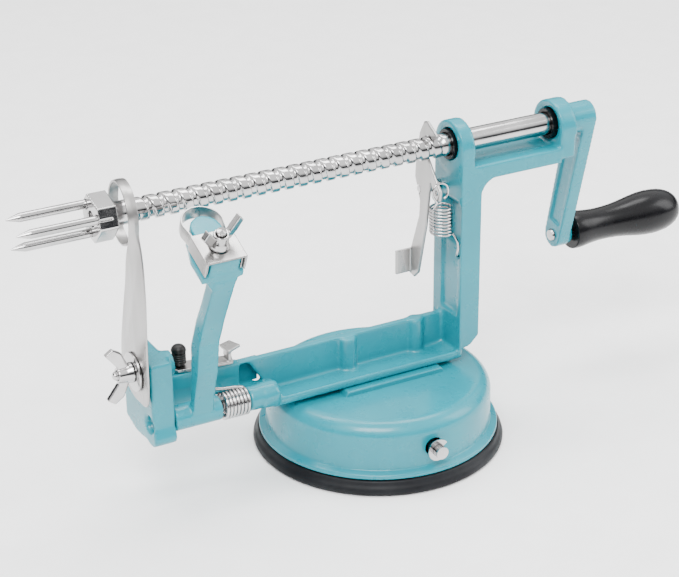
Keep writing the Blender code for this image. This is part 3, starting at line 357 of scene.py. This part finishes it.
def rounded(profile, radius, steps=4):
    """The same profile with each inner corner turned into a short curve."""
    points = [Vector(point) for point in profile]
    curve = [points[0]]
    for before, corner, after in zip(points, points[1:], points[2:]):
        back, ahead = before - corner, after - corner
        reach = min(radius, back.length * 0.45, ahead.length * 0.45)
        start = corner + back.normalized() * reach
        end = corner + ahead.normalized() * reach
        for i in range(steps + 1):
            share = i / steps
            bend = start * (1 - share) ** 2 + corner * 2 * share * (1 - share) + end * share**2
            curve.append(bend)
    return curve + [points[-1]]


def lathe(name, profile, place, steps=96):
    """Sweeps (radius, height) in mm round the local z of place."""
    mesh = bmesh.new()
    rings = []
    for radius, height in profile:
        if radius < 0.001:
            rings.append([mesh.verts.new((0, 0, height * MM))] * steps)
            continue
        ring = []
        for i in range(steps):
            angle = 2 * math.pi * i / steps
            spot = (radius * MM * math.cos(angle), radius * MM * math.sin(angle), height * MM)
            ring.append(mesh.verts.new(spot))
        rings.append(ring)
    for low, high in zip(rings, rings[1:]):
        for i in range(steps):
            j = (i + 1) % steps
            corners = list(dict.fromkeys((low[i], low[j], high[j], high[i])))
            if len(corners) > 2:
                mesh.faces.new(corners)
    mesh.transform(place)
    bmesh.ops.recalc_face_normals(mesh, faces=mesh.faces)
    return as_piece(name, mesh)


def along_x(x=0.0, y=0.0, z=0.0):
    """Local x, y, z become Y, Z, X, from a point in mm."""
    return Matrix(((0, 0, 1, x * MM), (1, 0, 0, y * MM), (0, 1, 0, z * MM), (0, 0, 0, 1)))


# %% [markdown]
# The drum that hides the vacuum cam is one turned shell with a generous shoulder and a thin
# flange over the rubber. The cam shaft passes through two holes in its side, which a Boolean
# cuts from the fine shell. The seat for the frame is a low pad let into the crown.

# %% Base drum
SIDE_R, SHOULDER_R, CROWN = 49.2, 7, 30.0
CAM_SHAFT = (-1, 17.5)
shoulder = []
for i in range(13):
    angle = math.radians(90 - 90 * i / 12)
    out_by, up_by = SHOULDER_R * math.cos(angle), SHOULDER_R * math.sin(angle)
    shoulder.append((SIDE_R - SHOULDER_R + out_by, CROWN - SHOULDER_R + up_by))
inner = [(47.0, 23.0), (46.4, 25.3), (44.9, 27.0), (42.2, 27.8), (0, 27.8)]
rim = rounded([(SIDE_R, 14.0), (SIDE_R, 9.3), (52.3, 8.3), (52.3, 6.3), (47.0, 6.3)], 0.7)
drum_profile = [(0, CROWN), *shoulder, *rim, *inner]
drum = lathe("turned_base_drum", drum_profile, Matrix.Identity(4), 144)
crosswise = Matrix(
    ((0, 1, 0, CAM_SHAFT[0] * MM), (0, 0, 1, 0), (1, 0, 0, CAM_SHAFT[1] * MM), (0, 0, 0, 1))
)
hole_maker = lathe(
    "cam_hole_maker",
    [(0, -60), (4.2, -60), (4.2, 60), (0, 60)],
    crosswise,
    48,
)
drilled = bored(drum, hole_maker)
drilled.shade_smooth()
drilled.set_sharp_from_angle(angle=math.radians(40))
stand_in(drum, "base_housing")
print("drum faces:", len(drilled.polygons))

# %% [markdown]
# The pad is a shallow four-sided block whose ends slope into the crown, so the casting sits on a
# machined face rather than on the dome.

# %% Seat pad
PAD_HALF = 14.0
pad_mesh = bmesh.new()
pad_rows = []
for side in (-PAD_HALF, PAD_HALF):
    row = []
    for x, z in ((-24, 29.4), (26, 29.4), (24, 32.1), (-22, 32.1)):
        row.append(pad_mesh.verts.new((x * MM, side * MM, z * MM)))
    pad_rows.append(row)
pad_mesh.faces.new(pad_rows[0])
pad_mesh.faces.new(reversed(pad_rows[1]))
for i in range(4):
    j = (i + 1) % 4
    pad_mesh.faces.new((pad_rows[0][j], pad_rows[0][i], pad_rows[1][i], pad_rows[1][j]))
bmesh.ops.recalc_face_normals(pad_mesh, faces=pad_mesh.faces)
pad = as_piece("seat_pad", pad_mesh, 30)
soft_rim = pad.modifiers.new("rim", "BEVEL")
soft_rim.width = 0.6 * MM
soft_rim.segments = 3
stand_in(pad, "base_housing")

# %% [markdown]
# The rubber cup spreads a little past the drum and ends in a rolled lip that seals on the table.

# %% Rubber cup
cup_profile = [(0, 9.8), (7, 9.8), (7, 4.8), (43, 4.0), (46.3, 6.0)]
cup_profile += rounded([(50.0, 6.0), (52.8, 6.0), (53.6, 4.2), (54.5, 3.0), (55.0, 1.4)], 0.6)
cup_profile += rounded([(55.0, 1.3), (54.9, 0.5), (54.2, 0.0), (50.0, 0.0)], 0.4) + [(0, 0)]
cup = lathe("moulded_cup", cup_profile, Matrix.Identity(4), 144)
stand_in(cup, "suction_cup")

# %% [markdown]
# The feed screw has a right-hand thread of four turns to the inch. Its grooves are rolled, so
# both lips are soft and the lands between them are broad. Instead of cutting a coil from a rod,
# the radius is worked out for each angle and each slice along the shaft. One grid then holds the
# plain journal, the thread and its run-out with no seam.

# %% Feed screw
AXIS = 129.5
PITCH = 6.35
THREAD = (-107.0, 29.5)
ROD_R, END_R, CHAMFER_R = 4.9, 3.0, 4.5
GROOVE_DEPTH, SWELL = 0.82, 0.07


def ease(value):
    """Runs smoothly from 0 to 1 as the value does."""
    value = min(max(value, 0.0), 1.0)
    return value * value * (3 - 2 * value)


def shaft_radius(x, angle):
    """The shaft's radius in mm, x mm along it."""
    turns = (x - THREAD[0]) / PITCH - angle / (2 * math.pi)
    off_groove = abs(turns - round(turns)) * PITCH
    depth = GROOVE_DEPTH * ease((1.5 - off_groove) / 0.6)
    crown = SWELL * ease((off_groove - 1.4) / 0.9)
    fade = ease((x - THREAD[0] + 2.5) / 3) * ease((THREAD[1] + 1.5 - x) / 3)
    return ROD_R - fade * (depth + SWELL - crown)


shaft_mesh = bmesh.new()
slices = [-125.0, -119.3, -119.2] + [-118.9 + 0.3 * i for i in range(506)]
slices += [40 + 5 * i for i in range(1, 10)] + [92.4, 92.7, 92.75, 102.0]
around = 64
shaft_rings = []
for x in slices:
    ring = []
    for i in range(around):
        angle = 2 * math.pi * i / around
        radius = shaft_radius(x, angle)
        if x in (-125.0, -119.3) or x > 92.71:
            radius = END_R
        elif x in (-119.2, 92.7):
            radius = CHAMFER_R
        y, z = radius * math.cos(angle) * MM, (AXIS + radius * math.sin(angle)) * MM
        ring.append(shaft_mesh.verts.new((x * MM, y, z)))
    shaft_rings.append(ring)
for low, high in zip(shaft_rings, shaft_rings[1:]):
    for i in range(around):
        j = (i + 1) % around
        shaft_mesh.faces.new((low[i], high[i], high[j], low[j]))
shaft_mesh.faces.new(shaft_rings[0])
shaft_mesh.faces.new(reversed(shaft_rings[-1]))
bmesh.ops.recalc_face_normals(shaft_mesh, faces=shaft_mesh.faces)
shaft = as_piece("rolled_feed_screw", shaft_mesh, 50)
stand_in(shaft, "feed_shaft")
print("thread turns:", round((THREAD[1] - THREAD[0]) / PITCH, 1))

# %% [markdown]
# Three pins hold the apple. Each is a drawn rod with a long ground point whose very tip is
# blunted, and a faint neck where the grinding stops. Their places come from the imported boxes.

# %% Fork pins
for number in (1, 2, 3):
    low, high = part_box(f"fork_pin_{number}")
    middle = [(a + b) / 2 * 1000 for a, b in zip(low, high)]
    tip, seat = low[0] * 1000, high[0] * 1000
    pin_profile = [(0, tip), (0.28, tip + 0.15), (1.1, tip + 2.8), (1.75, tip + 5.3)]
    pin_profile += [(1.85, tip + 5.9), (1.85, seat), (0, seat)]
    pin = lathe(f"ground_pin_{number}", pin_profile, along_x(0, middle[1], middle[2]), 40)
    stand_in(pin, f"fork_pin_{number}")
    print("pin", number, "is", round(seat - tip, 1), "mm long")

# %% [markdown]
# The handle is turned to fit a palm: a fat rounded end, a waist for the thumb and a flared
# collar. It spins freely on its pin, so its profile ends by running down the pin's bore.

# %% Handle
handle_low, handle_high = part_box("crank_handle")
left, grip_end = handle_low[0] * 1000, handle_high[0] * 1000
handle_profile = [(0, grip_end), (2.6, grip_end - 0.15), (4.9, grip_end - 1.0)]
handle_profile += [(6.6, grip_end - 2.3), (7.9, grip_end - 4.0), (8.9, grip_end - 6.2)]
handle_profile += [(9.7, grip_end - 9.0), (10.15, grip_end - 12.5), (10.3, grip_end - 16)]
handle_profile += [(10.1, grip_end - 20), (9.6, grip_end - 24), (8.9, grip_end - 28)]
handle_profile += [(8.3, grip_end - 32), (7.8, grip_end - 36), (7.5, grip_end - 41)]
handle_profile += [(7.5, grip_end - 46), (7.9, grip_end - 51), (8.45, grip_end - 55)]
handle_profile += rounded([(8.6, left + 2.6), (8.45, left), (7.0, left), (2.5, left)], 0.7)
handle_profile += [(2.5, left + 47), (0, left + 47)]
handle_y = (handle_low[1] + handle_high[1]) * 500
handle_z = (handle_low[2] + handle_high[2]) * 500
handle = lathe("moulded_handle", handle_profile, along_x(0, handle_y, handle_z), 96)
stand_in(handle, "crank_handle")
print("handle:", round(grip_end - left, 1), "mm long")

# %% [markdown]
# The washer, the knife's stud and the latch's screw are turned too. A blunt end on the stud and
# a rounded rim on the washer are small, but they make the fixings look like real hardware.

# %% Washer, stud and the latch's screw
STUD_Y, STUD_Z = -3.5, 61.5
washer_low, washer_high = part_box("knife_washer")
x0, x1 = washer_low[0] * 1000, washer_high[0] * 1000
washer_profile = rounded([(2.2, x0), (8.25, x0), (8.25, x1), (2.2, x1)], 0.35) + [(2.2, x0)]
washer = lathe("turned_washer", washer_profile, along_x(0, STUD_Y, STUD_Z), 72)
stand_in(washer, "knife_washer")
stud_low, stud_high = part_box("knife_stud")
x0, x1 = stud_low[0] * 1000, stud_high[0] * 1000
stud_profile = [(0, x0), (1.0, x0 + 0.1), (1.55, x0 + 0.5)]
for i in range(8):
    stud_profile += [(1.6, x0 + 0.8 + i * 0.7), (1.9, x0 + 1.15 + i * 0.7)]
stud_profile += [(1.9, x1), (0, x1)]
stud = lathe("threaded_knife_stud", stud_profile, along_x(0, STUD_Y, STUD_Z), 40)
stand_in(stud, "knife_stud")
head = Matrix.Translation((-90.4 * MM, 7.5 * MM, 0))
screw_profile = [(0, 62.7), (1.2, 62.6), (2.2, 62.1), (2.9, 61.3), (3.2, 60.4), (3.2, 59.6)]
screw_profile += [(3.0, 59.5), (1.5, 59.5), (1.5, 43), (0, 42.6)]
latch_screw = lathe("domed_latch_screw", screw_profile, head, 48)
stand_in(latch_screw, "latch_screw")

# %% [markdown]
# Springs are wire, so a curve with a round bevel is the honest way to make them. A coil is a
# list of points, and each end runs on into the leg or the loop that holds the spring.

# %% Helpers: wire and coil


def wire(name, points, radius):
    """A round wire in mm through the points, turned into a mesh."""
    curve = bpy.data.curves.new(name, "CURVE")
    curve.dimensions = "3D"
    curve.bevel_depth = radius * MM
    curve.bevel_resolution = 4
    curve.use_fill_caps = True
    spline = curve.splines.new("POLY")
    spline.points.add(len(points) - 1)
    for point, spot in zip(spline.points, points):
        point.co = (*(Vector(spot) * MM), 1)
    maker = bpy.data.objects.new(name + "_maker", curve)
    bpy.context.scene.collection.objects.link(maker)
    graph = bpy.context.evaluated_depsgraph_get()
    data = bpy.data.meshes.new_from_object(maker.evaluated_get(graph))
    bpy.data.objects.remove(maker, do_unlink=True)
    return link_mesh(name, data, 60)


def coiled(radius, turns, length, start, per_turn=28):
    """Points of (across, across, along) for a coil that starts at an angle in degrees."""
    points = []
    for i in range(int(turns * per_turn) + 1):
        angle = math.radians(start) + 2 * math.pi * i / per_turn
        along = length * i / (turns * per_turn)
        points.append((radius * math.cos(angle), radius * math.sin(angle), along))
    return points


# %% [markdown]
# The arm's spring is a torsion spring wound round the pivot. One leg lies along the casting's
# web and the other presses on the arm, so the blade follows the apple.

# %% Torsion spring
arm_points = [(-84.2, -4.5, 51.0), (-84.0, -5.2, 48.0), (-82.0, -6.0, 46.2), (-78.0, -6.8, 45.3)]
arm_points += [(-73.0, -7.4, 45.0), (-69.6, -8.2, 44.6)]
for across, up, along in coiled(5.4, 7, -11.2, 80):
    arm_points.append((-68.6 + along, -8.8 + across, 38.6 + up))
torsion = wire("wound_torsion_spring", arm_points, 0.72)
stand_in(torsion, "arm_torsion_spring")
print("spring points:", len(arm_points))

# %% [markdown]
# The release spring pulls the lever into the thread. It is an extension spring, so its turns lie
# close together, with a round loop through the lever's prong and a hook in the post. The wire is
# baked in place and is not attached to the frame or to the lever.

# %% Release spring
pull_points = []
for i in range(25):
    angle = math.radians(-60 + 280 * i / 24)
    pull_points.append((26.2 + 3.9 * math.cos(angle), -7.0, 111.6 + 3.9 * math.sin(angle)))
pull_points += [(24.4, -7.6, 107.2), (23.6, -7.2, 105.6)]
for across, deep, along in coiled(4.6, 8.4, -12.2, 200):
    fall = -along / 12.2
    pull_points.append((27.6 + across, -5.2 + deep - 0.6 * fall, 104.4 + along))
pull_points += [(32.9, -8.9, 90.0), (33.7, -9.6, 87.6), (33.9, -9.8, 84.8)]
pull_points += [(33.4, -9.5, 82.4), (33.7, -8.9, 81.0), (34.8, -8.5, 80.5), (37.0, -8.5, 80.5)]
pull = wire("wound_release_spring", pull_points, 0.52)
pull.data.materials.clear()
pull.data.materials.append(plated)
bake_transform(pull)
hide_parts("release_spring")

# %% [markdown]
# The latch's small spring is blackened and pushes the latch down on the casting.

# %% Latch spring
latch_points = []
for across, deep, along in coiled(2.6, 5, 5.0, 0, 20):
    latch_points.append((-90.4 + across, 7.5 + deep, 53.7 + along))
press = wire("wound_latch_spring", latch_points, 0.5)
stand_in(press, "latch_spring")

# %% [markdown]
# The paring blade is a strip of steel bent into a hoop, ground sharp at the bow. A strip swept
# along the hoop's path with a thinner outer edge shows the grind as a bright line.

# %% Paring blade
BOW_R, BOW_Y = 8.3, 22.7
slope = Matrix.Rotation(math.radians(23.3), 4, "X")
blade_place = Matrix.Translation((-90.8 * MM, -44.4 * MM, 121.3 * MM)) @ slope
path = [(7.2, 1.2), (7.2, 5.0), (7.2, 10.0), (7.2, 15.9)]
for i in range(49):
    angle = math.pi * i / 48
    path.append((BOW_R * math.cos(angle), BOW_Y + BOW_R * math.sin(angle)))
path += [(-7.2, 15.9), (-7.2, 10.0), (-7.2, 5.0), (-7.2, 1.2)]
blade_mesh = bmesh.new()
blade_rows = []
for i, (x, y) in enumerate(path):
    before = Vector(path[max(i - 1, 0)])
    after = Vector(path[min(i + 1, len(path) - 1)])
    ahead = (after - before).normalized()
    out = Vector((ahead.y, -ahead.x)) * 0.3
    row = []
    for depth, share in ((-7.5, 0.15), (-6.4, 1.0), (-1.3, 1.0), (-1.1, 0.7)):
        row.append((x - out.x * share, y - out.y * share, depth))
    for depth, share in ((-1.1, 0.7), (-1.3, 1.0), (-6.4, 1.0), (-7.5, 0.15)):
        row.append((x + out.x * share, y + out.y * share, depth))
    blade_rows.append([blade_mesh.verts.new(Vector(spot) * MM) for spot in row])
for low, high in zip(blade_rows, blade_rows[1:]):
    for i in range(8):
        j = (i + 1) % 8
        blade_mesh.faces.new((low[i], low[j], high[j], high[i]))
blade_mesh.faces.new(blade_rows[0])
blade_mesh.faces.new(blade_rows[-1])
blade_mesh.transform(blade_place)
bmesh.ops.recalc_face_normals(blade_mesh, faces=blade_mesh.faces)
blade = as_piece("ground_paring_blade", blade_mesh, 30)
stand_in(blade, "paring_blade")
print("blade path:", len(path), "points")

# %% [markdown]
# The slicing knife and the coring ring are one strip. The flat blade turns a quarter as it
# climbs, and then bends round into the ring, with a pressed crease running across the turn. Two
# edge lines carry the whole form, so the mesh is a ladder of rungs between them: seven points
# across each rung, a thickness behind them, and a subdivision that rounds it all.

# %% Slicing knife and coring ring
KNIFE = -114.0
RING_R, RING_HALF = 12.7, 2.15
HALF_THICK = 0.46
RING = 200
blade_edges = [
    (48.7, -11.0, -3.0),
    (49.4, -13.6, 0.8),
    (51.5, -15.2, 6.3),
    (55.5, -16.0, 9.2),
    (60.0, -16.6, 11.1),
    (70.0, -16.7, 10.2),
    (81.0, -16.8, 7.2),
    (90.0, -17.4, 4.6),
    (98.0, -17.9, 2.2),
]
rungs = []
for z, near, far in blade_edges:
    rungs.append((Vector((KNIFE, near, z)), Vector((KNIFE, far, z)), z))
for z, near, far, near_x, far_x in (
    (104.0, -17.3, 0.2, -113.9, -114.3),
    (110.0, -16.2, -2.6, -113.5, -115.1),
    (115.0, -14.9, -5.8, -113.2, -115.9),
    (120.0, -13.4, -9.6, -112.95, -116.8),
):
    rungs.append((Vector((near_x, near, z)), Vector((far_x, far, z)), z))
for i in range(33):
    angle = math.radians(203 - 336 * i / 32)
    lean = KNIFE + 1.1 * math.cos(angle)
    y, z = RING_R * math.cos(angle), AXIS + RING_R * math.sin(angle)
    rungs.append((Vector((lean + RING_HALF, y, z)), Vector((lean - RING_HALF, y, z)), RING))
knife_mesh = bmesh.new()
crease_layer = knife_mesh.edges.layers.float.new("crease_edge")
loops = []
for i, (near, far, height) in enumerate(rungs):
    ahead = sum(rungs[min(i + 1, len(rungs) - 1)][:2], Vector()) - sum(
        rungs[max(i - 1, 0)][:2], Vector()
    )
    face = ahead.cross(far - near).normalized()
    fold = min(max((height - 62) / 56, 0), 1)
    share = 0.84 - 0.70 * fold
    rise = 1.15 * ease(fold * 4) * ease((1 - fold) * 4)
    if height == RING:
        share, rise = 0.5, 0.22
    across = [0.0, 0.06, share * 0.6, share, share + (1 - share) * 0.4, 0.94, 1.0]
    lift = [0.0, 0.0, rise * 0.55, rise, rise * 0.55, 0.0, 0.0]
    front, back = [], []
    for part, up in zip(across, lift):
        spot = near.lerp(far, part)
        front.append(knife_mesh.verts.new((spot + face * (HALF_THICK + up)) * MM))
        back.append(knife_mesh.verts.new((spot - face * (HALF_THICK - up * 0.8)) * MM))
    loops.append((front + back[::-1], height))
for (low, height), (high, _) in zip(loops, loops[1:]):
    for i in range(14):
        j = (i + 1) % 14
        knife_mesh.faces.new((low[i], low[j], high[j], high[i]))
    if 66 < height < 118:
        ridge = knife_mesh.edges.get((low[3], high[3]))
        ridge[crease_layer] = 0.85
knife_mesh.faces.new(loops[0][0])
knife_mesh.faces.new(loops[-1][0])
bmesh.ops.recalc_face_normals(knife_mesh, faces=knife_mesh.faces)
knife = as_piece("twisted_slicing_knife", knife_mesh, 0)
soft_skin = knife.modifiers.new("skin", "SUBSURF")
soft_skin.levels = soft_skin.render_levels = 2
punch = lathe("knife_punch", [(0, -3), (2.2, -3), (2.2, 3), (0, 3)], along_x(KNIFE, STUD_Y, STUD_Z), 40)
punched = bored(knife, punch)
stand_in(knife, "slicing_knife")
print("knife faces:", len(punched.polygons))

# %% [markdown]
# The room is a pale floor that runs out of view and soft light from large panels. Polished steel
# needs something to mirror, so the panels are few and the sky between them is a little darker:
# that makes the bright streaks and dark bands along round rods.

# %% Floor
REACH, GAP = 6, 0.0004
floor_mesh = bmesh.new()
edges = ((-REACH, -REACH), (REACH, -REACH), (REACH, REACH), (-REACH, REACH))
corners = [floor_mesh.verts.new((x, y, -GAP)) for x, y in edges]
floor_mesh.faces.new(corners)
floor = as_piece("studio_floor", floor_mesh, 0)
paper = finish(
    "pale_paper",
    0.0,
    ((0.96, 0.96, 0.96), (0.99, 0.99, 0.99)),
    (0.75, 0.85),
    (60, 0.02, 0.1),
)
floor.data.materials.append(paper)

# %% [markdown]
# The sky is a plain gradient, brighter overhead. Each panel is an area light aimed at the middle
# of the tool.

# %% Sky and panels
world = bpy.data.worlds.new("studio_sky")
bpy.context.scene.world = world
world.use_nodes = True
sky = world.node_tree
sky_coords = sky.nodes.new("ShaderNodeTexCoord")
split = sky.nodes.new("ShaderNodeSeparateXYZ")
ramp = sky.nodes.new("ShaderNodeValToRGB")
ramp.color_ramp.elements[0].position = 0.22
ramp.color_ramp.elements[0].color = (0.03, 0.032, 0.036, 1)
ramp.color_ramp.elements[1].position = 0.5
ramp.color_ramp.elements[1].color = (1, 1, 1, 1)
sky.links.new(sky_coords.outputs["Generated"], split.inputs["Vector"])
sky.links.new(split.outputs["Z"], ramp.inputs["Fac"])
sky.links.new(ramp.outputs["Color"], sky.nodes["Background"].inputs["Color"])
sky.nodes["Background"].inputs["Strength"].default_value = 1.9


AIM = Vector((0, 0, 0.07))


def panel(name, spot, size, power):
    light = bpy.data.lights.new(name, "AREA")
    light.shape = "RECTANGLE"
    light.size, light.size_y = size
    light.energy = power
    holder = bpy.data.objects.new(name, light)
    bpy.context.scene.collection.objects.link(holder)
    holder.location = spot
    aim = AIM - Vector(spot)
    holder.rotation_euler = aim.to_track_quat("-Z", "Y").to_euler()


panel("key_panel", (-0.5, -0.7, 1.1), (0.7, 0.5), 21)
panel("side_panel", (1.0, -0.5, 0.6), (0.5, 0.8), 8)
panel("top_panel", (0.1, 0.3, 1.2), (1.2, 0.4), 15)
